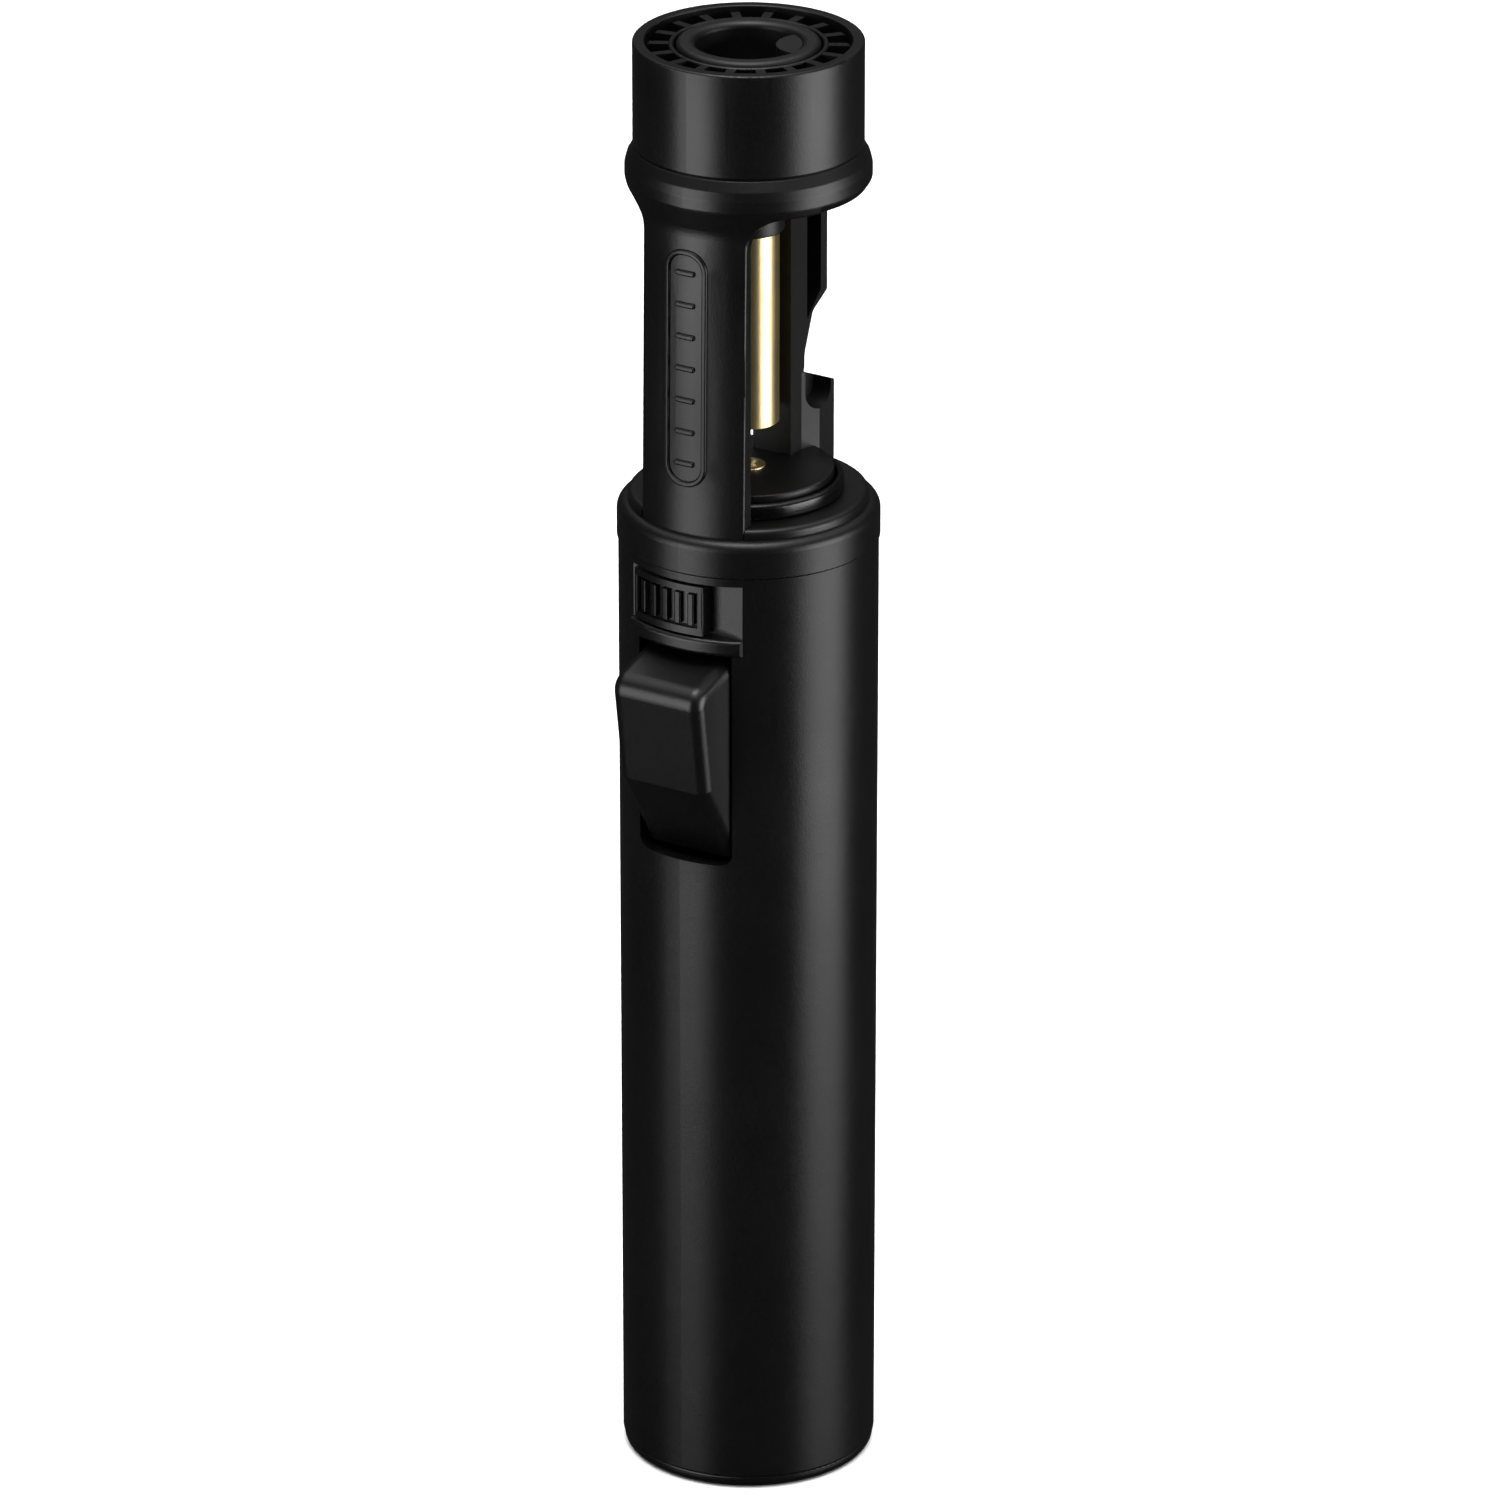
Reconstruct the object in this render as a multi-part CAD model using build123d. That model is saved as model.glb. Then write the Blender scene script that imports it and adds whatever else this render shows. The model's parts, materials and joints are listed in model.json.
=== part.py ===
from build123d import *
import math
import os

# A pocket butane torch, in millimetres. Z runs up the body's axis from the flat base to the
# flame end, and the trigger faces -Y. Azimuths are counted from the trigger, positive towards +X.

# Overall
HEIGHT = 164.0
BODY_R_BASE = 13.95
BODY_R_TOP = 14.05
BODY_BORE_R = 12.55

# Levels up the axis
SEAM_BASE_Z = 1.4
TANK_Z = 9.0
TANK_TOP_Z = 50.0
LID_TOP_Z = 54.0
FLOOR_TOP_Z = 56.0
COLLAR_Z = 108.1
STEP_Z = 112.2
PLATEAU_Z = 113.3
BOSS_TOP_Z = 115.8
HEAD_FLOOR_Z = 148.1
HEAD_FLOOR_TOP_Z = 149.6

# Trigger slot, the flat pocket that the slider runs in, and the lip between them
SLOT_HALF = 5.85
SLOT_Z = (74.8, 99.3)
LIP_R = 14.6
LIP_HALF = 6.9
LIP_Z = (99.3, 101.1)
POCKET_Z = (101.1, 107.2)
POCKET_Y = -12.25
POCKET_BACK_Y = -11.65
FOOT_SLOT_X = (-2.5, 2.8)
FOOT_SLOT_Z = (102.2, 104.4)

# Trigger and its linkage, seen along X as (y, z)
TRIGGER_HALF = 5.6
TRIGGER_PIVOT = (-7.8, 77.0)
TRIGGER_PIN_R = 1.0
PLATE_X = (4.45, 5.3)
CHEEK_X = (5.9, 7.3)
LEVER_PIVOT = (4.5, 74.0)
LEVER_PIN_R = 0.8
PIN_PLAY = 0.05
VALVE_Y = 7.5
STEM_R = 1.1

# Piezo unit
PIEZO_X = 4.2
PIEZO_Y = (-6.2, 0.2)
PIEZO_WALL = 0.45
PIEZO_TOP_Z = 84.0
PIEZO_MID_Y = -3.0
CRYSTAL_TOP_Z = 66.3

# Slider: the pad outside, and the catch that its foot carries inside
SLIDER_X = (-6.4, 2.95)
SLIDER_Z = (101.35, 106.95)
SLIDER_R = (13.75, 14.3)
SLIDER_BACK_Y = -12.35
FOOT_X = (-2.3, -0.7)
FOOT_Z = (102.4, 104.2)
CATCH_Y = (-11.5, -10.8)
TAB_LOW_Z = 99.4
STUB_X = (-1.9, -1.1)
STUB_Z = (102.9, 103.7)
RIB_COUNT = 5
RIB_PITCH = 1.6
RIB_FIRST_X = -4.89

# Neck and head
COLLAR_R = 14.2
COLLAR_SKIRT_Z = 107.3
SCREW_PLACES = ((-9.3, 1.5), (9.3, 1.5))
STEP_R = 13.0
RING_R = (9.45, 10.3)
RING_TOP_Z = 115.1
BOSS_R = 9.2
JET_R = 1.85
STRIP_HALF = 6.4
STRIP_R_IN = 11.7
STRIP_R_FOOT = 12.95
STRIP_R_TOP = 12.5
HEAD_R = 12.33
HEAD_BORE_R = 11.0
BEAD_R = 13.2
FLARE_Z = (146.2, 149.0)
MOTIF_Z = (117.6, 144.2)
MOTIF_HALF = 2.6
MOTIF_LINE = 0.6
MOTIF_RELIEF = 0.3
MOTIF_BARS = 7
MOTIF_BAR_HALF = 1.2
BURNER_R = 4.9
FIN_COUNT = 18
HUB_R = (7.95, 8.5)
NOZZLE_R = (5.7, 7.7)
TUBE_R = (2.75, 3.3)
TUBE_Z = (121.1, 147.0)
ELECTRODE_AZ = 120.0
LUG_HALF = 3.2

# Ignition lead
LEAD_R = 0.6
LEAD_HOLE_R = 0.75
LEAD_Y = 6.3

parts = {}


def wire_face(points, radii):
    """A flat face inside a closed outline whose corners have the given radii."""
    return make_face(FilletPolyline(*points, radius=radii, close=True).edges())


def corner_radii(corners):
    """The corner radius of each (a, b) or (a, b, radius), with 0 for a sharp one."""
    return [corner[2] if len(corner) == 3 else 0 for corner in corners]


def turned(*corners, start=0.0, stop=360.0):
    """Revolve an outline of (r, z) or (r, z, corner radius) between two azimuths."""
    face = wire_face([(corner[0], 0, corner[1]) for corner in corners], corner_radii(corners))
    return Rot(Z=start - 90) * revolve(face, Axis.Z, stop - start)


def across_x(x_low, x_high, *corners):
    """Extrude an outline of (y, z) or (y, z, corner radius) along X."""
    face = wire_face([(x_low, corner[0], corner[1]) for corner in corners], corner_radii(corners))
    return extrude(face, amount=x_high - x_low, dir=(1, 0, 0))


def across_y(y_low, y_high, *corners):
    """Extrude an outline of (x, z) or (x, z, corner radius) along Y."""
    face = wire_face([(corner[0], y_low, corner[1]) for corner in corners], corner_radii(corners))
    return extrude(face, amount=y_high - y_low, dir=(0, 1, 0))


def block(x_low, x_high, y_low, y_high, z_low, z_high):
    """A box given by its limits."""
    centre = ((x_low + x_high) / 2, (y_low + y_high) / 2, (z_low + z_high) / 2)
    return Pos(*centre) * Box(x_high - x_low, y_high - y_low, z_high - z_low)


def rod(radius, z_low, z_high, x=0.0, y=0.0):
    """An upright round bar."""
    return Pos(x, y, (z_low + z_high) / 2) * Cylinder(radius, z_high - z_low)


def tube(r_in, r_out, z_low, z_high, x=0.0, y=0.0):
    """An upright round tube."""
    return rod(r_out, z_low, z_high, x, y) - rod(r_in, z_low - 1, z_high + 1, x, y)


def rod_x(radius, x_low, x_high, y, z):
    """A round bar along X."""
    return Pos((x_low + x_high) / 2, y, z) * Rot(Y=90) * Cylinder(radius, x_high - x_low)


def seal_ring(major, minor, z, y=0.0):
    """A round-section sealing ring lying flat."""
    return Pos(0, y, z) * Torus(major, minor)


def coil_spring(radius, wire_r, z_low, z_high, turns, y=0.0):
    """An upright helical spring whose wire stays between two levels."""
    height = z_high - z_low - 2 * wire_r
    path = Helix(pitch=height / turns, height=height, radius=radius)
    section = Plane(path @ 0, z_dir=path % 0) * Circle(wire_r)
    return Pos(0, y, z_low + wire_r) * sweep(section, path)


def pipe_along(path, radius):
    """Sweep a disc of the given radius along a path."""
    return sweep(Plane(path @ 0, z_dir=path % 0) * Circle(radius), path)


def polar(radius, azimuth):
    """The (x, y) of a point at an azimuth counted from the trigger."""
    angle = math.radians(azimuth)
    return radius * math.sin(angle), -radius * math.cos(angle)


def electrode_frame(u, v):
    """The (x, y) of a point u outwards and v sideways in the electrode's direction."""
    out_x, out_y = polar(1, ELECTRODE_AZ)
    return u * out_x - v * out_y, u * out_y + v * out_x


def toward_electrode(shape):
    """Turn a shape built along +X so that it points in the electrode's direction."""
    return Rot(Z=ELECTRODE_AZ - 90) * shape


# Body tube: a slightly tapered moulding with the trigger slot, a flat pocket for the slider
# and a lip between the two.
def make_body_tube():
    body = turned(
        (BODY_BORE_R, SEAM_BASE_Z),
        (BODY_R_BASE, SEAM_BASE_Z, 0.2),
        (BODY_R_TOP, COLLAR_Z, 0.12),
        (BODY_BORE_R, COLLAR_Z),
    )
    lip = turned(
        (BODY_BORE_R, LIP_Z[0]),
        (LIP_R, LIP_Z[0], 0.45),
        (LIP_R, LIP_Z[1], 0.45),
        (BODY_BORE_R, LIP_Z[1]),
    )
    body += lip & block(-LIP_HALF, LIP_HALF, -20, -8, *LIP_Z)
    body -= across_y(
        -20,
        -8,
        (-SLOT_HALF, SLOT_Z[0], 1.3),
        (SLOT_HALF, SLOT_Z[0], 1.3),
        (SLOT_HALF, SLOT_Z[1]),
        (-SLOT_HALF, SLOT_Z[1]),
    )
    pocket_floor = block(-LIP_HALF, LIP_HALF, POCKET_Y - 0.4, POCKET_BACK_Y, LIP_Z[1] - 0.4, POCKET_Z[1])
    body += pocket_floor & rod(BODY_BORE_R + 0.5, SLOT_Z[0], COLLAR_Z)
    body -= block(-10, 10, -20, POCKET_Y, *POCKET_Z)
    return body - block(*FOOT_SLOT_X, -14, -10, *FOOT_SLOT_Z)


# Base cap: a cup pressed into the tube, with a shallow dish round the refill valve.
def make_base_cap():
    return turned(
        (3.1, 1.0),
        (8.4, 1.0, 0.3),
        (9.0, 0.0, 0.3),
        (13.8, 0.0, 0.9),
        (13.8, SEAM_BASE_Z, 0.2),
        (12.5, SEAM_BASE_Z),
        (12.5, TANK_Z),
        (11.3, TANK_Z),
        (11.3, 2.6),
        (3.1, 2.6),
    )


# Refill valve: a brass body screwed into the tank's floor, with a sprung stem.
def make_refill_valve_body():
    return turned(
        (1.2, 1.2),
        (2.9, 1.2, 0.25),
        (2.9, 8.0),
        (2.3, 8.0),
        (2.3, 14.0),
        (0.9, 14.0),
        (0.9, 12.6),
        (1.8, 12.6),
        (1.8, 4.3),
        (1.2, 4.3),
    )


def make_refill_valve_stem():
    stem = rod(1.15, 1.9, 4.6) + rod(1.55, 4.6, 5.6) + rod(0.6, 5.6, 10.0)
    return stem - rod(0.4, 1.5, 3.6)


# Fuel tank, its lid with the valve tower, and the wick that feeds the valve.
def make_fuel_tank():
    return turned(
        (2.32, TANK_Z),
        (12.2, TANK_Z, 0.6),
        (12.2, TANK_TOP_Z),
        (11.2, TANK_TOP_Z),
        (11.2, TANK_Z + 1.5, 1.0),
        (4.5, TANK_Z + 1.5),
        (4.5, TANK_Z + 5.0),
        (2.32, TANK_Z + 5.0),
    )


def make_tank_lid():
    lid = rod(12.2, TANK_TOP_Z, LID_TOP_Z) + rod(11.15, 47.0, TANK_TOP_Z)
    lid += rod(3.9, LID_TOP_Z, 66.0, y=VALVE_Y)
    lid -= tube(10.42, 11.5, 48.0, 49.0)
    lid -= rod(1.6, 46.0, 60.0, y=VALVE_Y) + rod(2.65, 60.0, 67.0, y=VALVE_Y)
    return lid


# Gas valve: body in the lid's tower, lifting stem, return spring and seal.
def make_gas_valve_body():
    body = turned(
        (0.8, 60.0),
        (2.6, 60.0),
        (2.6, 62.6),
        (2.1, 62.6),
        (2.1, 63.4),
        (2.6, 63.4),
        (2.6, 66.0),
        (3.4, 66.0, 0.2),
        (3.4, 67.2, 0.2),
        (2.4, 67.2),
        (2.4, 73.5, 0.2),
        (STEM_R + PIN_PLAY, 73.5),
        (STEM_R + PIN_PLAY, 71.5),
        (1.7, 71.5),
        (1.7, 61.5),
        (0.8, 61.5),
    )
    return Pos(0, VALVE_Y, 0) * body


def make_gas_valve_stem():
    stem = rod(STEM_R, 64.5, 80.0) + rod(1.5, 63.0, 64.5) + rod(2.2, 75.9, 76.5)
    return Pos(0, VALVE_Y, 0) * (stem - rod(0.4, 66.0, 81.0))


def make_gas_hose():
    path = FilletPolyline(
        (0, VALVE_Y, 77.5), (0, VALVE_Y, 95.0), (0, 0, 101.0), (0, 0, 106.5), radius=4.5
    )
    return pipe_along(path, 1.9) - pipe_along(path, 1.18)


# Gas lever: a fork round the piezo case that lifts the stem's flange as its front end goes down.
def make_gas_lever():
    lever = block(-PLATE_X[1], PLATE_X[1], 5.7, 8.2, 74.8, 75.6)
    for side in (-1, 1):
        x_low, x_high = sorted((side * PLATE_X[0], side * PLATE_X[1]))
        arm = across_x(
            x_low,
            x_high,
            (-1.2, 73.2),
            (6.6, 73.2, 0.5),
            (6.6, 75.4),
            (0.2, 75.2, 0.4),
            (0.0, 75.9, 0.2),
            (-1.0, 75.9, 0.2),
            (-1.2, 75.2),
        )
        lever += arm + rod_x(1.7, x_low, x_high, *LEVER_PIVOT)
    lever -= rod_x(LEVER_PIN_R + PIN_PLAY, -8, 8, *LEVER_PIVOT)
    return lever - block(-1.5, 1.5, 6.0, 9.0, 74.0, 76.5)


# Chassis: a floor, two cheeks for the pins, rails for the piezo case and a top disc.
def make_chassis():
    chassis = rod(12.15, LID_TOP_Z, FLOOR_TOP_Z) - rod(4.05, 53.0, 57.0, y=VALVE_Y)
    for side in (-1, 1):
        x_low, x_high = sorted((side * CHEEK_X[0], side * CHEEK_X[1]))
        cheek = across_x(
            x_low,
            x_high,
            (-11.0, FLOOR_TOP_Z),
            (11.0, FLOOR_TOP_Z),
            (11.0, 104.5),
            (1.0, 104.5, 3.0),
            (0.0, 98.0, 3.0),
            (-11.0, 98.0, 2.0),
        )
        rail_low, rail_high = sorted((side * PIEZO_X, side * CHEEK_X[0]))
        chassis += cheek & rod(12.15, 50.0, 110.0)
        chassis += block(rail_low, rail_high, -6.5, 0.5, FLOOR_TOP_Z, 70.0)
    chassis += rod(11.5, 104.5, 106.5)
    chassis -= rod(2.4, 104.0, 107.0) + rod(LEAD_HOLE_R, 104.0, 107.0, y=LEAD_Y)
    for x, y in SCREW_PLACES:
        chassis -= rod(1.05, 104.0, 107.0, x, y)
    chassis -= rod_x(TRIGGER_PIN_R, -9, 9, *TRIGGER_PIVOT)
    return chassis - rod_x(LEVER_PIN_R, -9, 9, *LEVER_PIVOT)


def make_chassis_screws():
    screws = Part()
    for x, y in SCREW_PLACES:
        screw = rod(1.0, 104.5, 110.5, x, y) + rod(1.8, 103.3, 104.5, x, y)
        screws += screw - block(x - 1.4, x + 1.4, y - 0.2, y + 0.2, 103.0, 103.9)
    return screws


# Piezo unit: case, plunger with the ramp that the trigger's wedge rides on, hammer and crystal.
def make_piezo_case():
    outer = block(-PIEZO_X, PIEZO_X, *PIEZO_Y, FLOOR_TOP_Z, PIEZO_TOP_Z)
    inner_x = PIEZO_X - PIEZO_WALL
    inner_y = (PIEZO_Y[0] + PIEZO_WALL, PIEZO_Y[1] - PIEZO_WALL)
    return outer - block(-inner_x, inner_x, *inner_y, FLOOR_TOP_Z + 2, PIEZO_TOP_Z + 1)


def make_piezo_plunger():
    plunger = across_x(
        -3.7,
        3.7,
        (-0.3, 70.0),
        (-0.3, 93.0, 0.5),
        (-5.46, 93.0, 0.3),
        (-7.9, 89.6, 0.2),
        (-7.9, 88.0),
        (-5.7, 88.0),
        (-5.7, 70.0),
    )
    return plunger - block(-2.6, 2.6, -4.6, -1.4, 69.0, PIEZO_TOP_Z)


# Trigger: a hollow lever with two side plates that carry the pivot and reach the gas lever.
def make_trigger():
    shell = across_x(
        -TRIGGER_HALF,
        TRIGGER_HALF,
        (-10.1, 99.0),
        (-19.35, 96.55, 2.1),
        (-17.6, 84.57, 0.5),
        (-11.9, 75.4),
        (-10.2, 75.4),
    )
    side_edges = [
        edge
        for edge in shell.edges()
        if abs(abs(edge.center().X) - TRIGGER_HALF) < 0.01 and edge.center().Y < -12.0
    ]
    shell = fillet(side_edges, 1.4)
    shell -= across_x(-4.0, 4.0, (-9.0, 97.2), (-17.4, 95.2), (-16.1, 84.9), (-12.6, 79.0), (-9.0, 79.0))
    for side in (-1, 1):
        x_low, x_high = sorted((side * PLATE_X[0], side * PLATE_X[1]))
        shell += across_x(
            x_low,
            x_high,
            (-12.0, 94.0),
            (-9.9, 86.0),
            (-8.6, 78.6),
            (-6.4, 78.4),
            (0.4, 77.7, 0.3),
            (0.4, 76.2, 0.3),
            (-5.8, 75.3),
            (-11.6, 75.6),
        )
        shell += rod_x(2.0, x_low, x_high, *TRIGGER_PIVOT)
    shell += across_x(-1.5, 1.5, (-8.1, 89.75), (-7.4, 90.72), (-17.4, 92.8), (-17.2, 88.4))
    return shell - rod_x(TRIGGER_PIN_R + PIN_PLAY, -8, 8, *TRIGGER_PIVOT)


# Lock slider: a ribbed pad that runs on the pocket's flat floor, with a foot through the floor.
def pad_bar(x_low, x_high, z_low, z_high, radius):
    """A bar of the pad, flat behind and curved like the body in front, with rounded uprights."""
    bar = rod(SLIDER_R[1], z_low, z_high) & block(x_low, x_high, -20, SLIDER_BACK_Y, z_low, z_high)
    uprights = [edge for edge in bar.edges().filter_by(Axis.Z) if edge.center().Y < SLIDER_BACK_Y - 0.05]
    return fillet(uprights, radius)


def make_lock_slider():
    x_low, x_high = SLIDER_X
    z_low, z_high = SLIDER_Z
    base = rod(SLIDER_R[0], z_low, z_high) & block(x_low, x_high, -20, SLIDER_BACK_Y, z_low, z_high)
    slider = base + pad_bar(x_low, x_low + 0.5, z_low, z_high, 0.12)
    slider += pad_bar(x_high - 0.75, x_high, z_low, z_high, 0.2)
    slider += pad_bar(x_low, x_high, z_low, z_low + 0.8, 0.12)
    slider += pad_bar(x_low, x_high, z_high - 0.7, z_high, 0.12)
    for rib in range(RIB_COUNT):
        middle = RIB_FIRST_X + rib * RIB_PITCH
        slider += pad_bar(middle - 0.4, middle + 0.4, z_low + 1.1, z_high - 1.0, 0.2)
    slider += block(*FOOT_X, SLIDER_BACK_Y - 0.2, CATCH_Y[0], *FOOT_Z)
    return slider + block(*STUB_X, CATCH_Y[0] - 0.2, CATCH_Y[1], *STUB_Z)


# Slider catch: a plate on the foot's stub, with a tab that moves in above the trigger's rear edge.
def make_slider_catch():
    catch = block(-4.6, 1.0, *CATCH_Y, 101.0, FOOT_Z[1])
    catch += block(-5.2, -4.2, CATCH_Y[1] - 0.1, -8.7, 101.0, 102.2)
    catch += block(-7.6, -4.2, -9.6, -8.7, 101.0, 102.2)
    catch += block(-7.6, -5.85, -9.6, -8.7, TAB_LOW_Z, 102.2)
    return catch - block(*STUB_X, -13, -10, *STUB_Z)


# Shoulder collar: closes the body and carries the step that the neck stands on.
def make_shoulder_collar():
    collar = turned(
        (5.3, COLLAR_SKIRT_Z),
        (12.5, COLLAR_SKIRT_Z),
        (12.5, COLLAR_Z),
        (COLLAR_R, COLLAR_Z, 0.15),
        (COLLAR_R, STEP_Z, 1.15),
        (STEP_R, STEP_Z),
        (STEP_R, PLATEAU_Z, 0.6),
        (5.3, PLATEAU_Z),
    )
    foot_half = STRIP_HALF + 0.06
    notch = block(-foot_half, foot_half, -15.0, -5.0, STEP_Z, 115.0)
    tongue = ((11.15, 109.0), (12.45, 109.0), (12.45, 113.0), (11.15, 113.0))
    collar -= notch - rod(STRIP_R_IN - 0.05, 110.0, 116.0)
    collar -= turned(*tongue, start=-25.3, stop=25.3)
    for x, y in SCREW_PLACES:
        collar += rod(2.0, 106.5, COLLAR_SKIRT_Z, x, y)
        collar -= rod(1.0, 106.0, 110.6, x, y)
    return collar - rod(LEAD_HOLE_R, 106.0, 114.0, y=LEAD_Y)


# Bead ring round the boss, notched where the spine's lug comes down behind it.
def make_bead_ring():
    ring = turned(
        (RING_R[0], PLATEAU_Z),
        (RING_R[1], PLATEAU_Z, 0.35),
        (RING_R[1], RING_TOP_Z, 0.5),
        (RING_R[0], RING_TOP_Z, 0.3),
    )
    return ring - block(-3.3, 3.3, 5.0, 12.0, 113.0, 116.0)


def make_valve_boss():
    boss = turned(
        (1.9, 109.0),
        (1.9, BOSS_TOP_Z, 0.2),
        (BOSS_R, BOSS_TOP_Z, 0.15),
        (BOSS_R, PLATEAU_Z),
        (5.2, PLATEAU_Z),
        (5.2, 106.8),
        (1.2, 106.8),
        (1.2, 109.0),
    )
    return boss - rod(LEAD_HOLE_R, 106.0, 117.0, y=LEAD_Y)


def make_gas_jet():
    return turned(
        (0.7, 104.6),
        (1.15, 104.6),
        (1.15, 109.0),
        (JET_R, 109.0),
        (JET_R, 111.7),
        (1.4, 111.7),
        (1.4, 112.3),
        (JET_R, 112.3),
        (JET_R, 116.0, 0.15),
        (1.25, 116.0),
        (0.9, 115.6),
        (0.25, 115.6),
        (0.25, 114.8),
        (0.7, 114.8),
    )


# Rear spine: web, outer flange, lead bore, C-shaped cut and a lug with a round scoop.
def make_rear_spine():
    spine = across_x(
        -2.4,
        2.4,
        (4.7, PLATEAU_Z),
        (12.1, PLATEAU_Z),
        (12.1, 122.5),
        (7.5, 124.4),
        (7.5, 126.6, 3.5),
        (9.2, 131.0, 1.2),
        (12.1, 132.6, 0.3),
        (12.1, HEAD_FLOOR_Z),
        (4.7, HEAD_FLOOR_Z),
    )
    lug_side = across_x(
        -LUG_HALF,
        LUG_HALF,
        (6.9, PLATEAU_Z),
        (12.3, PLATEAU_Z),
        (12.3, 122.4, 0.2),
        (6.9, 124.65),
    )
    lug_plan = make_face(
        Polyline(
            (-2.4, 6.9),
            (-LUG_HALF, 9.3),
            (-LUG_HALF, 12.3),
            (LUG_HALF, 12.3),
            (LUG_HALF, 9.3),
            (2.4, 6.9),
            close=True,
        )
    )
    lug = lug_side & Pos(0, 0, PLATEAU_Z) * extrude(lug_plan, amount=12.0)
    channel = across_x(-1.2, 2.5, (8.0, 149.0), (8.0, 130.4), (10.8, 133.0), (10.8, 149.0))
    spine = spine + lug - channel
    spine -= rod_x(2.1, 1.0, LUG_HALF, 9.5, 122.0) + block(1.0, LUG_HALF, 7.4, 11.6, 122.0, 125.0)
    spine -= rod(BOSS_R, 110.0, BOSS_TOP_Z) + rod(LEAD_HOLE_R, 110.0, 150.0, y=LEAD_Y)
    return spine


def neck_shell(grow):
    """The ring that the front strip is cut from: a cone that flares into the bead at its top."""
    return turned(
        (STRIP_R_IN, STEP_Z),
        (STRIP_R_FOOT + grow, STEP_Z),
        (STRIP_R_TOP + grow, FLARE_Z[0], 4.0),
        (BEAD_R - 0.02, FLARE_Z[1]),
        (BEAD_R - 0.02, FLARE_Z[1] + 0.4),
        (STRIP_R_IN, FLARE_Z[1] + 0.4),
    )


def make_motif():
    """A raised oval line with short bars in it, on the strip's outer face."""

    def upright_oval(half, low, high):
        radius = 0.9 * half
        corners = ((-half, low, radius), (half, low, radius), (half, high, radius), (-half, high, radius))
        return across_y(-16, -8, *corners)

    low, high = MOTIF_Z
    motif = upright_oval(MOTIF_HALF, low, high)
    motif -= upright_oval(MOTIF_HALF - MOTIF_LINE, low + MOTIF_LINE, high - MOTIF_LINE)
    pitch = (high - low - 2 * MOTIF_HALF) / (MOTIF_BARS - 1)
    for bar in range(MOTIF_BARS):
        middle = low + MOTIF_HALF + bar * pitch
        motif += across_y(
            -16,
            -8,
            (-MOTIF_BAR_HALF, middle - MOTIF_LINE / 2, 0.25),
            (MOTIF_BAR_HALF, middle - MOTIF_LINE / 2, 0.25),
            (MOTIF_BAR_HALF, middle + MOTIF_LINE / 2, 0.25),
            (-MOTIF_BAR_HALF, middle + MOTIF_LINE / 2, 0.25),
        )
    raised = motif & (neck_shell(MOTIF_RELIEF) - neck_shell(-0.3))
    outer_edges = [edge for edge in raised.edges() if on_outer_face(edge)]
    return fillet(outer_edges, 0.2)


def on_outer_face(edge):
    """Whether an edge of the motif lies on its raised outer face."""
    middle = edge @ 0.5
    taper = (STRIP_R_FOOT - STRIP_R_TOP) * (middle.Z - STEP_Z) / (FLARE_Z[0] - STEP_Z)
    return math.hypot(middle.X, middle.Y) > STRIP_R_FOOT - taper + MOTIF_RELIEF / 2


# Head guard: head shell, bead and front strip in one moulding, with a plain raised motif.
def make_head_guard():
    head = turned(
        (4.3, HEAD_FLOOR_Z),
        (12.6, HEAD_FLOOR_Z, 0.3),
        (BEAD_R, FLARE_Z[1], 0.5),
        (BEAD_R, 150.3, 0.6),
        (12.95, 151.3, 0.5),
        (12.35, 152.3),
        (12.2, 152.4),
        (HEAD_R, 152.7),
        (HEAD_R, HEIGHT, 0.25),
        (HEAD_BORE_R, HEIGHT, 0.15),
        (HEAD_BORE_R, HEAD_FLOOR_TOP_Z, 0.8),
        (4.3, HEAD_FLOOR_TOP_Z),
    )
    strip_front = across_y(
        -15,
        -5,
        (-STRIP_HALF, STEP_Z),
        (STRIP_HALF, STEP_Z),
        (STRIP_HALF, HEAD_FLOOR_Z, 3.5),
        (14.0, HEAD_FLOOR_Z),
        (14.0, 150.0),
        (-14.0, 150.0),
        (-14.0, HEAD_FLOOR_Z),
        (-STRIP_HALF, HEAD_FLOOR_Z, 3.5),
    )
    strip = neck_shell(0.0) & strip_front
    long_edges = [
        edge
        for edge in strip.edges()
        if edge.length > 20 and math.hypot(edge.center().X, edge.center().Y) > STRIP_R_IN + 0.5
    ]
    strip = fillet(long_edges, 0.35)
    tongue = ((11.2, 109.2), (12.4, 109.2), (12.4, 112.4), (11.2, 112.4))
    guard = head + strip + make_motif() + turned(*tongue, start=-25.0, stop=25.0)
    return guard - rod(LEAD_HOLE_R, 147.0, 151.0, y=LEAD_Y)


# Vent ring: radial fins between a hub and the head's wall.
def make_vent_ring():
    ring = turned(
        (HUB_R[0], 160.0),
        (HUB_R[1], 160.0),
        (HUB_R[1], 163.6, 0.2),
        (HUB_R[0], 163.6, 0.2),
    )
    ring += tube(10.3, HEAD_BORE_R - 0.02, 160.0, 160.8)
    fin = across_x(-0.5, 0.5, (8.3, 160.0), (10.85, 160.0), (10.85, 163.5, 0.5), (8.3, 163.5))
    for index in range(FIN_COUNT):
        ring += Rot(Z=index * 360 / FIN_COUNT) * fin
    return ring


def make_nozzle_collar():
    collar = turned(
        (NOZZLE_R[0], 152.4),
        (NOZZLE_R[1], 152.4),
        (NOZZLE_R[1], 163.9, 0.6),
        (NOZZLE_R[0], 163.9, 0.7),
    )
    return collar - toward_electrode(block(5.0, 9.0, -2.1, 2.1, 152.0, 158.1))


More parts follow.
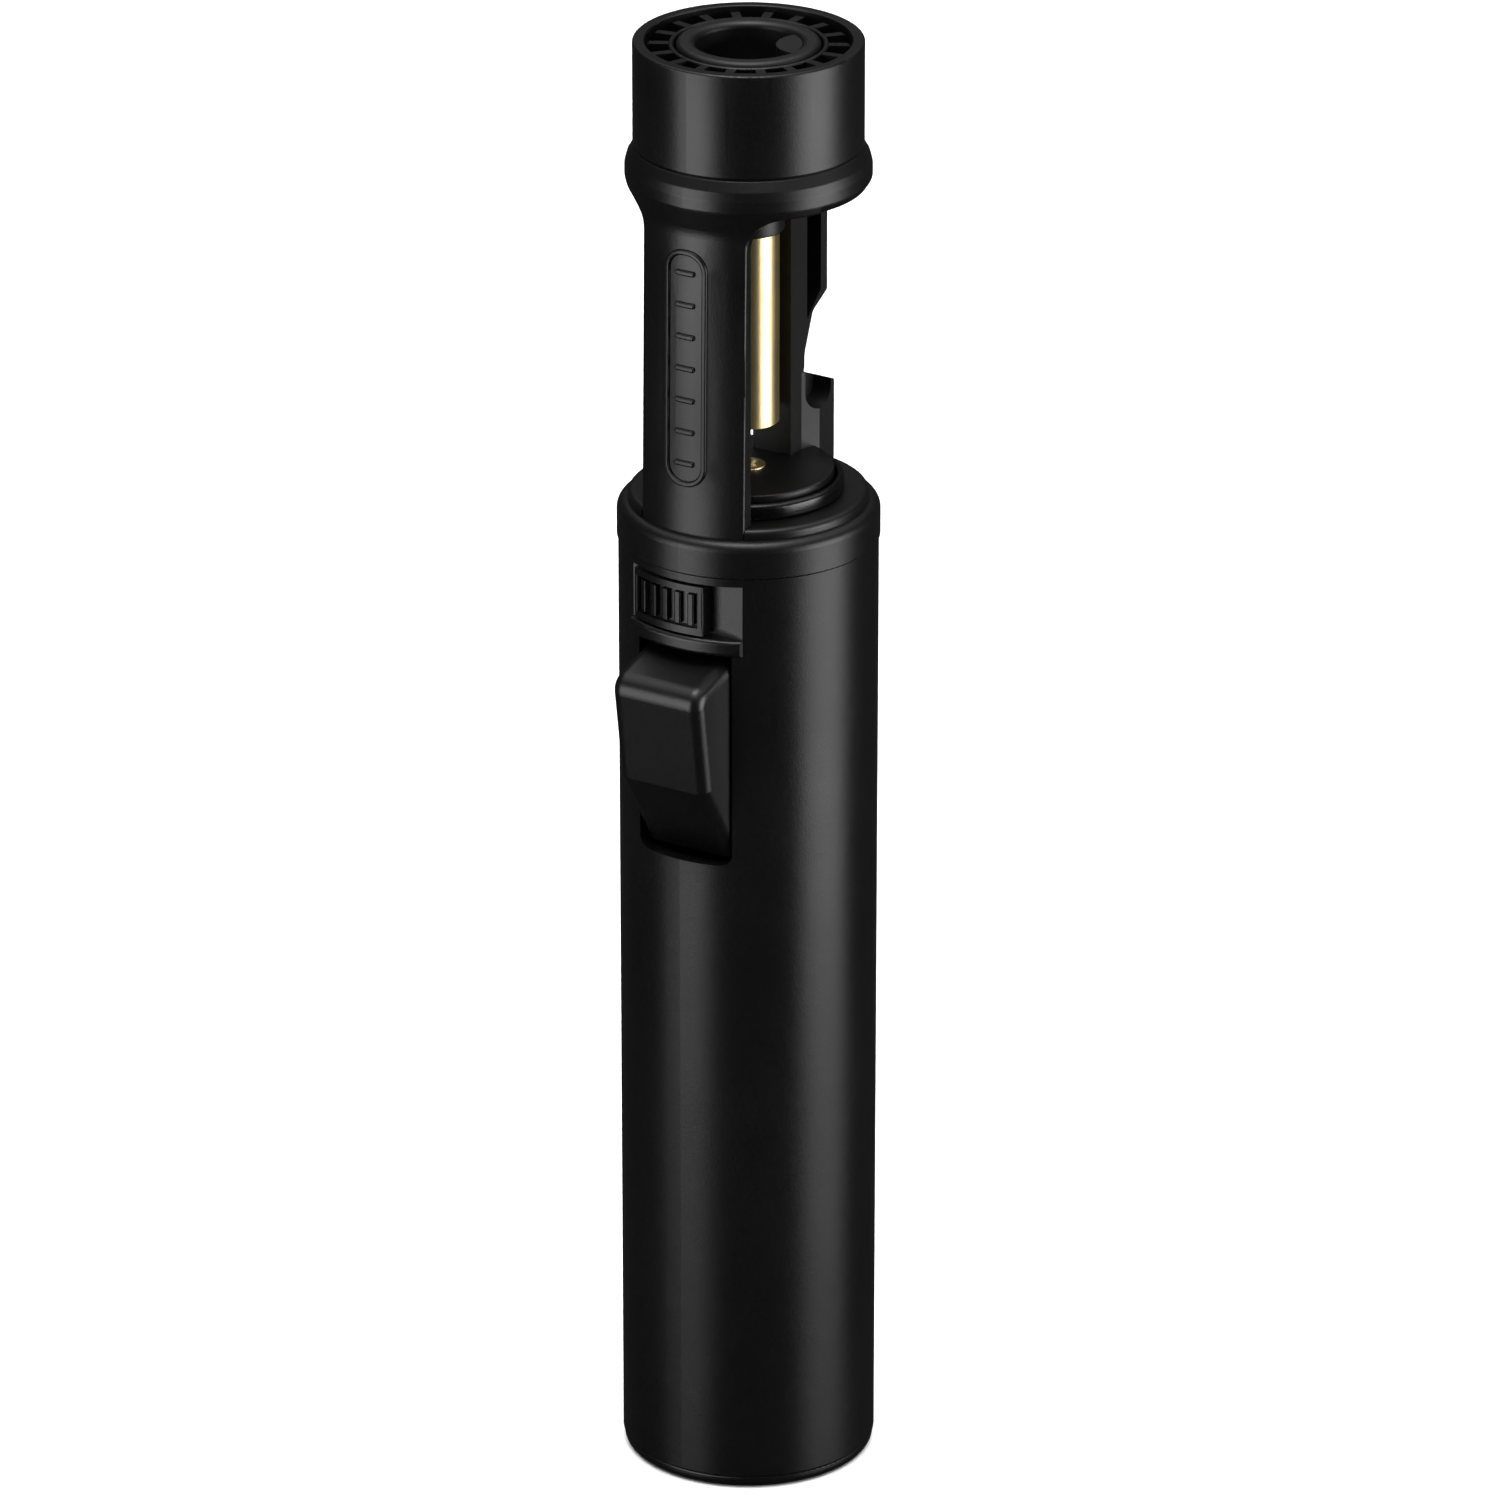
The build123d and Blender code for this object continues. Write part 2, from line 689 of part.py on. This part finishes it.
# Burner: socket for the mixing tube, flame cup and its perforated disc.
def make_tube_socket():
    return turned(
        (TUBE_R[1], 142.85),
        (3.9, 142.85, 0.25),
        (3.9, 147.6),
        (4.25, 147.6),
        (4.25, HEAD_FLOOR_TOP_Z),
        (TUBE_R[0], HEAD_FLOOR_TOP_Z),
        (TUBE_R[0], TUBE_Z[1]),
        (TUBE_R[1], TUBE_Z[1]),
    )


def make_burner_nozzle():
    return turned(
        (TUBE_R[0], HEAD_FLOOR_TOP_Z),
        (BURNER_R, HEAD_FLOOR_TOP_Z),
        (BURNER_R, 153.6, 0.2),
        (4.2, 153.6, 0.2),
        (4.2, 150.4),
        (TUBE_R[0], 150.4),
    )


def make_flame_disc():
    disc = rod(4.2, 152.4, 153.0) - rod(0.45, 152.0, 154.0)
    for circle_r, holes in ((1.5, 6), (2.9, 12)):
        for index in range(holes):
            disc -= rod(0.4, 152.0, 154.0, *polar(circle_r, index * 360 / holes))
    return disc


# Electrode: a bent steel pin in a block that fills one side of the flame opening.
def make_spark_electrode():
    path = FilletPolyline((6.4, 0, 157.0), (1.2, 0, 157.0), (1.2, 0, 154.4), radius=0.8)
    return toward_electrode(pipe_along(path, 0.35))


def make_electrode_housing():
    tongue = rod(NOZZLE_R[0] - 0.02, 154.0, 163.5) & rod(3.4, 154.0, 163.5, x=6.3)
    housing = tongue + block(5.2, 7.6, -2.0, 2.0, HEAD_FLOOR_TOP_Z, 158.0)
    return toward_electrode(housing) - make_spark_electrode()


# Ignition lead: from the piezo case, up through the spine's bore, to the electrode's housing.
def make_ignition_lead():
    foot_x, foot_y = electrode_frame(6.5, 2.0)
    turn_x, turn_y = electrode_frame(6.5, 5.0)
    path = FilletPolyline(
        (2.5, PIEZO_Y[1], 58.6),
        (2.5, 2.6, 58.6),
        (4.9, 6.0, 60.0),
        (4.9, 8.9, 66.0),
        (4.9, 8.9, 92.0),
        (0, LEAD_Y, 102.5),
        (0, LEAD_Y, 151.0),
        (turn_x, turn_y, 151.0),
        (foot_x, foot_y, 151.0),
        radius=(1.0, 1.5, 3.0, 6.0, 6.0, 1.2, 1.4),
    )
    return pipe_along(path, LEAD_R)


parts["body_tube"] = make_body_tube()
parts["base_cap"] = make_base_cap()
parts["refill_valve_body"] = make_refill_valve_body()
parts["refill_valve_stem"] = make_refill_valve_stem()
parts["refill_valve_spring"] = coil_spring(1.25, 0.2, 5.65, 12.55, 8)
parts["refill_valve_seal"] = seal_ring(2.85, 0.48, 8.5)
parts["fuel_tank"] = make_fuel_tank()
parts["tank_lid"] = make_tank_lid()
parts["tank_lid_seal"] = seal_ring(10.82, 0.37, 48.5)
parts["fuel_wick"] = rod(1.5, 12.0, 59.5, y=VALVE_Y)
parts["gas_valve_body"] = make_gas_valve_body()
parts["gas_valve_stem"] = make_gas_valve_stem()
parts["gas_valve_spring"] = coil_spring(1.4, 0.16, 64.55, 71.45, 7, y=VALVE_Y)
parts["gas_valve_seal"] = seal_ring(2.36, 0.25, 63.0, y=VALVE_Y)
parts["gas_hose"] = make_gas_hose()
parts["gas_lever"] = make_gas_lever()
parts["gas_lever_pin"] = rod_x(LEVER_PIN_R, -CHEEK_X[1], CHEEK_X[1], *LEVER_PIVOT)
parts["chassis"] = make_chassis()
parts["chassis_screws"] = make_chassis_screws()
parts["trigger"] = make_trigger()
parts["trigger_pin"] = rod_x(TRIGGER_PIN_R, -CHEEK_X[1], CHEEK_X[1], *TRIGGER_PIVOT)
parts["piezo_case"] = make_piezo_case()
parts["piezo_plunger"] = make_piezo_plunger()
parts["piezo_hammer"] = rod(0.8, 71.0, PIEZO_TOP_Z, y=PIEZO_MID_Y)
parts["piezo_crystal"] = rod(2.0, FLOOR_TOP_Z + 2, CRYSTAL_TOP_Z, y=PIEZO_MID_Y)
parts["piezo_spring"] = coil_spring(1.2, 0.2, CRYSTAL_TOP_Z, PIEZO_TOP_Z, 12, y=PIEZO_MID_Y)
parts["lock_slider"] = make_lock_slider()
parts["slider_catch"] = make_slider_catch()
parts["shoulder_collar"] = make_shoulder_collar()
parts["bead_ring"] = make_bead_ring()
parts["valve_boss"] = make_valve_boss()
parts["gas_jet"] = make_gas_jet()
parts["jet_seal"] = seal_ring(1.64, 0.22, 112.0)
parts["rear_spine"] = make_rear_spine()
parts["head_guard"] = make_head_guard()
parts["vent_ring"] = make_vent_ring()
parts["nozzle_collar"] = make_nozzle_collar()
parts["mixing_tube"] = tube(*TUBE_R, *TUBE_Z)
parts["tube_socket"] = make_tube_socket()
parts["burner_nozzle"] = make_burner_nozzle()
parts["flame_disc"] = make_flame_disc()
parts["electrode_housing"] = make_electrode_housing()
parts["spark_electrode"] = make_spark_electrode()
parts["ignition_lead"] = make_ignition_lead()

os.makedirs("parts", exist_ok=True)
for name, shape in parts.items():
    export_step(shape, f"parts/{name}.step")
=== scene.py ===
import json
import math

import bpy
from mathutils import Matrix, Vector

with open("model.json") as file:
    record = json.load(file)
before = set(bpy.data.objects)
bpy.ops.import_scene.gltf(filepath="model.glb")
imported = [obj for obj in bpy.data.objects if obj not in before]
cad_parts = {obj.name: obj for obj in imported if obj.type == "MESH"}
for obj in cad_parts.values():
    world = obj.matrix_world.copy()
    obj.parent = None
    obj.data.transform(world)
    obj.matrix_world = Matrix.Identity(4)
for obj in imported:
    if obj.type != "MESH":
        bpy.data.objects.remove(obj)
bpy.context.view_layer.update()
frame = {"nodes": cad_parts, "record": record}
NODES = frame["nodes"]

# The camera looks down at the torch from the trigger's right.
VIEW_AZIMUTH = math.radians(32.0)
VIEW_PITCH = math.radians(22.8)
VIEW_DISTANCE = 1.1395
AIM_HEIGHT = 0.0826
SENSOR = 36.0
LENS = 252.0

# How far the camera stands to the right of the torch's axis.
AIM_SIDE = 0.00015

# Noise scales shared by the moulded plastics: spark-eroded grain, and slow mottling.
GRAIN_PER_M = 5200.0
GRAIN_DEPTH = 0.000012
MOTTLE_PER_M = 70.0

# The two strip lights stand this far from the axis, centred this high.
STRIP_DISTANCE = 0.75
STRIP_HEIGHT = 0.05
STRIP_AIM = 0.1


# ---------------------------------------------------------------- material building blocks


class Surface:
    """A node material under construction: one Principled shader and helpers to feed it."""

    def __init__(self, name):
        self.material = bpy.data.materials.new(name)
        self.material.use_nodes = True
        self.nodes = self.material.node_tree.nodes
        self.links = self.material.node_tree.links
        self.shader = self.nodes["Principled BSDF"]
        self.place = self.nodes.new("ShaderNodeTexCoord").outputs["Object"]

    def set(self, **values):
        for socket, value in values.items():
            self.shader.inputs[socket.replace("_", " ")].default_value = value

    def feed(self, socket, output):
        self.links.new(output, self.shader.inputs[socket])

    def stretched(self, x, y, z):
        """The object's coordinates, scaled along each axis."""
        mapping = self.nodes.new("ShaderNodeMapping")
        mapping.inputs["Scale"].default_value = (x, y, z)
        self.links.new(self.place, mapping.inputs["Vector"])
        return mapping.outputs["Vector"]

    def noise(self, scale, detail=3.0, roughness=0.55, vector=None):
        node = self.nodes.new("ShaderNodeTexNoise")
        node.inputs["Scale"].default_value = scale
        node.inputs["Detail"].default_value = detail
        node.inputs["Roughness"].default_value = roughness
        self.links.new(vector or self.place, node.inputs["Vector"])
        return node.outputs["Fac"]

    def cells(self, scale, vector=None):
        node = self.nodes.new("ShaderNodeTexVoronoi")
        node.inputs["Scale"].default_value = scale
        self.links.new(vector or self.place, node.inputs["Vector"])
        return node.outputs["Distance"]

    def spread(self, output, from_low, from_high, low, high):
        """Map a value's range onto another, held at its ends."""
        node = self.nodes.new("ShaderNodeMapRange")
        node.inputs["From Min"].default_value = from_low
        node.inputs["From Max"].default_value = from_high
        node.inputs["To Min"].default_value = low
        node.inputs["To Max"].default_value = high
        self.links.new(output, node.inputs["Value"])
        return node.outputs["Result"]

    def blend(self, factor, first, second):
        """A colour between two, by a factor."""
        node = self.nodes.new("ShaderNodeMix")
        node.data_type = "RGBA"
        node.inputs["A"].default_value = (*first, 1.0)
        node.inputs["B"].default_value = (*second, 1.0)
        self.links.new(factor, node.inputs["Factor"])
        return node.outputs["Result"]

    def sum(self, *outputs):
        total = outputs[0]
        for output in outputs[1:]:
            node = self.nodes.new("ShaderNodeMath")
            node.operation = "ADD"
            self.links.new(total, node.inputs[0])
            self.links.new(output, node.inputs[1])
            total = node.outputs["Value"]
        return total

    def bump(self, height, distance):
        node = self.nodes.new("ShaderNodeBump")
        node.inputs["Distance"].default_value = distance
        node.inputs["Strength"].default_value = 1.0
        self.links.new(height, node.inputs["Height"])
        self.feed("Normal", node.outputs["Normal"])


def moulded(name, dark, light, rough):
    """Moulded plastic: spark-eroded grain, slow mottling, rubbed patches and hairlines."""
    surface = Surface(name)
    mottle = surface.noise(MOTTLE_PER_M, detail=4.0)
    rubbed = surface.noise(34.0, detail=2.0)
    hairline = surface.noise(900.0, detail=2.0, vector=surface.stretched(1.0, 1.0, 0.06))
    surface.feed("Base Color", surface.blend(surface.spread(mottle, 0.35, 0.7, 0.0, 1.0), dark, light))
    wear = surface.spread(rubbed, 0.42, 0.66, rough[1], rough[0])
    scratch = surface.spread(hairline, 0.68, 0.74, 0.0, -0.05)
    surface.feed("Roughness", surface.sum(wear, scratch))
    surface.set(Specular_IOR_Level=0.5)
    pits = surface.noise(GRAIN_PER_M, detail=2.0, roughness=0.6)
    swell = surface.spread(surface.noise(160.0), 0.0, 1.0, 0.0, 1.6)
    surface.bump(surface.sum(pits, swell), GRAIN_DEPTH)
    return surface.material


def turned_brass(name):
    """Lathe-turned brass: rings along Z and a warm tarnish in patches."""
    surface = Surface(name)
    rings = surface.noise(1.0, detail=3.0, vector=surface.stretched(40.0, 40.0, 9000.0))
    tarnish = surface.noise(150.0, detail=5.0)
    shade = surface.spread(tarnish, 0.42, 0.68, 0.0, 1.0)
    surface.feed("Base Color", surface.blend(shade, (0.95, 0.77, 0.42), (0.86, 0.65, 0.32)))
    ring_wear = surface.spread(rings, 0.2, 0.8, 0.29, 0.36)
    surface.feed("Roughness", surface.sum(ring_wear, surface.spread(shade, 0, 1, 0, 0.06)))
    surface.set(Metallic=1.0)
    surface.bump(rings, 0.000006)
    return surface.material


def bright_steel(name, base=(0.56, 0.57, 0.58), heat=None):
    """Drawn or stamped steel: lengthwise streaks, dull patches, and heat colour by a flame."""
    surface = Surface(name)
    streaks = surface.noise(1.0, detail=4.0, vector=surface.stretched(5200.0, 5200.0, 260.0))
    dull = surface.noise(220.0, detail=4.0)
    second = heat or tuple(0.78 * value for value in base)
    surface.feed("Base Color", surface.blend(surface.spread(dull, 0.35, 0.7, 0.0, 1.0), base, second))
    streak_wear = surface.spread(streaks, 0.3, 0.7, 0.2, 0.34)
    surface.feed("Roughness", surface.sum(streak_wear, surface.spread(dull, 0.4, 0.7, 0.0, 0.1)))
    surface.set(Metallic=1.0)
    surface.bump(streaks, 0.000004)
    return surface.material


def soft_rubber(name, dark, light, rough=0.62):
    """Rubber or silicone: a chalky bloom over a dull surface."""
    surface = Surface(name)
    bloom = surface.noise(420.0, detail=5.0, roughness=0.65)
    surface.feed("Base Color", surface.blend(surface.spread(bloom, 0.4, 0.72, 0.0, 1.0), dark, light))
    surface.feed("Roughness", surface.spread(bloom, 0.3, 0.7, rough - 0.08, rough + 0.12))
    surface.bump(surface.noise(4200.0), 0.00001)
    return surface.material


def clear_nylon(name):
    """Natural nylon: milky, with flow lines and a soft skin."""
    surface = Surface(name)
    flow = surface.noise(1.0, detail=4.0, vector=surface.stretched(120.0, 120.0, 24.0))
    shade = surface.spread(flow, 0.3, 0.7, 0.0, 1.0)
    surface.feed("Base Color", surface.blend(shade, (0.78, 0.79, 0.75), (0.66, 0.68, 0.66)))
    surface.feed("Roughness", surface.spread(flow, 0.3, 0.7, 0.28, 0.42))
    surface.set(Subsurface_Weight=0.2, Subsurface_Scale=0.002)
    surface.bump(surface.noise(900.0), 0.00001)
    return surface.material


def fired_ceramic(name):
    """Fired ceramic: speckled, slightly porous."""
    surface = Surface(name)
    speck = surface.cells(2600.0)
    shade = surface.spread(speck, 0.1, 0.6, 0.0, 1.0)
    surface.feed("Base Color", surface.blend(shade, (0.52, 0.46, 0.36), (0.74, 0.68, 0.55)))
    surface.feed("Roughness", surface.spread(speck, 0.1, 0.6, 0.5, 0.68))
    surface.bump(speck, 0.00001)
    return surface.material


def bonded_fibre(name):
    """Bonded fibre: lengthwise strands with gaps between them."""
    surface = Surface(name)
    strands = surface.noise(1.0, detail=5.0, vector=surface.stretched(6000.0, 6000.0, 500.0))
    shade = surface.spread(strands, 0.3, 0.7, 0.0, 1.0)
    surface.feed("Base Color", surface.blend(shade, (0.5, 0.48, 0.42), (0.86, 0.84, 0.78)))
    surface.feed("Roughness", surface.spread(strands, 0.3, 0.7, 0.8, 0.95))
    surface.bump(strands, 0.00005)
    return surface.material


MATERIALS = {
    "shell_black": moulded(
        "shell_black", (0.0013, 0.0013, 0.0014), (0.0023, 0.0023, 0.0024), (0.34, 0.40)
    ),
    "trigger_black": moulded(
        "trigger_black", (0.0014, 0.0014, 0.0015), (0.0024, 0.0024, 0.0026), (0.32, 0.38)
    ),
    "ring_black": moulded(
        "ring_black", (0.0010, 0.0010, 0.0011), (0.0019, 0.0019, 0.0020), (0.2, 0.27)
    ),
    "burner_black": moulded(
        "burner_black", (0.0012, 0.0012, 0.0013), (0.0024, 0.0023, 0.0022), (0.42, 0.50)
    ),
    "chassis_grey": moulded(
        "chassis_grey", (0.03, 0.03, 0.033), (0.045, 0.045, 0.048), (0.45, 0.55)
    ),
    "piezo_black": moulded("piezo_black", (0.01, 0.01, 0.013), (0.016, 0.016, 0.02), (0.36, 0.46)),
    "brass": turned_brass("brass"),
    "steel": bright_steel("steel"),
    "rubber": soft_rubber("rubber", (0.012, 0.012, 0.012), (0.03, 0.03, 0.03)),
    "hose": soft_rubber("hose", (0.44, 0.42, 0.38), (0.58, 0.56, 0.52), 0.5),
    "lead": soft_rubber("lead", (0.26, 0.014, 0.012), (0.36, 0.03, 0.026), 0.45),
    "tank_plastic": clear_nylon("tank_plastic"),
    "crystal": fired_ceramic("crystal"),
    "wick": bonded_fibre("wick"),
}
HEATED_STEEL = bright_steel("steel_heated", (0.42, 0.38, 0.36), heat=(0.24, 0.2, 0.27))
HEATED_NODES = ("burner_nozzle", "flame_disc", "spark_electrode")


# ---------------------------------------------------------------- CAD nodes


def dress_nodes():
    """Give every node its slot's material, or heated steel by the flame."""
    for row in frame["record"]["subparts"]:
        piece = NODES[row["node"]]
        material = HEATED_STEEL if row["node"] in HEATED_NODES else MATERIALS[row["material_slot"]]
        piece.data.materials.clear()
        piece.data.materials.append(material)


dress_nodes()


# ---------------------------------------------------------------- stage, light and camera


def toward(azimuth, elevation, distance, height=AIM_HEIGHT):
    """A point seen from the torch's axis at an azimuth counted from the camera, positive to its right."""
    angle = VIEW_AZIMUTH + azimuth
    flat = distance * math.cos(elevation)
    return Vector((flat * math.sin(angle), -flat * math.cos(angle), height + distance * math.sin(elevation)))


def area_light(name, place, aim, size, power):
    data = bpy.data.lights.new(name, "AREA")
    data.shape = "RECTANGLE"
    data.size, data.size_y = size
    data.energy = power
    light = bpy.data.objects.new(name, data)
    light.location = place
    light.rotation_mode = "QUATERNION"
    light.rotation_quaternion = (aim - place).to_track_quat("-Z", "Y")
    bpy.context.scene.collection.objects.link(light)
    return light


def make_floor():
    half = 2.5
    mesh = bpy.data.meshes.new("floor")
    corners = [(-half, -half, 0), (half, -half, 0), (half, half, 0), (-half, half, 0)]
    mesh.from_pydata(corners, [], [(0, 1, 2, 3)])
    floor = bpy.data.objects.new("floor", mesh)
    bpy.context.scene.collection.objects.link(floor)
    paper = Surface("floor_paper")
    tone = paper.noise(3.0, detail=2.0)
    paper.feed("Base Color", paper.blend(tone, (0.93, 0.93, 0.93), (0.96, 0.96, 0.96)))
    paper.set(Roughness=0.95, Specular_IOR_Level=0.1)
    mesh.materials.append(paper.material)
    floor.visible_glossy = False


def make_light():
    world = bpy.data.worlds.new("studio")
    world.use_nodes = True
    world.node_tree.nodes["Background"].inputs["Color"].default_value = (1.0, 1.0, 1.0, 1.0)
    world.node_tree.nodes["Background"].inputs["Strength"].default_value = 0.03
    bpy.context.scene.world = world
    middle = Vector((0.0, 0.0, STRIP_AIM))
    left = toward(math.radians(-54), 0.0, STRIP_DISTANCE, STRIP_HEIGHT)
    right = toward(math.radians(69), 0.0, STRIP_DISTANCE, STRIP_HEIGHT)
    area_light("left_strip", left, middle, (0.46, 0.6), 3.5)
    area_light("right_strip", right, middle, (0.54, 0.6), 5.6)
    overhead = area_light("overhead", Vector((0.0, 0.1, 1.3)), middle, (2.2, 2.2), 38.0)
    overhead.visible_glossy = False
    area_light("top_card", Vector((0.0, 0.1, 1.31)), middle, (2.2, 2.2), 14.0)
    area_light("edge_card", Vector((0.0, -0.1, 1.3)), middle, (0.6, 0.6), 7.0)


def make_camera():
    data = bpy.data.cameras.new("camera")
    data.sensor_width = SENSOR
    data.lens = LENS
    data.clip_start, data.clip_end = 0.05, 20.0
    camera = bpy.data.objects.new("camera", data)
    aside = AIM_SIDE * Vector((math.cos(VIEW_AZIMUTH), math.sin(VIEW_AZIMUTH), 0.0))
    camera.location = toward(0.0, VIEW_PITCH, VIEW_DISTANCE) + aside
    camera.rotation_mode = "QUATERNION"
    aim = Vector((0.0, 0.0, AIM_HEIGHT)) + aside
    camera.rotation_quaternion = (aim - camera.location).to_track_quat("-Z", "Y")
    bpy.context.scene.collection.objects.link(camera)
    bpy.context.scene.camera = camera


make_floor()
make_light()
make_camera()
bpy.context.scene.view_settings.view_transform = "Standard"
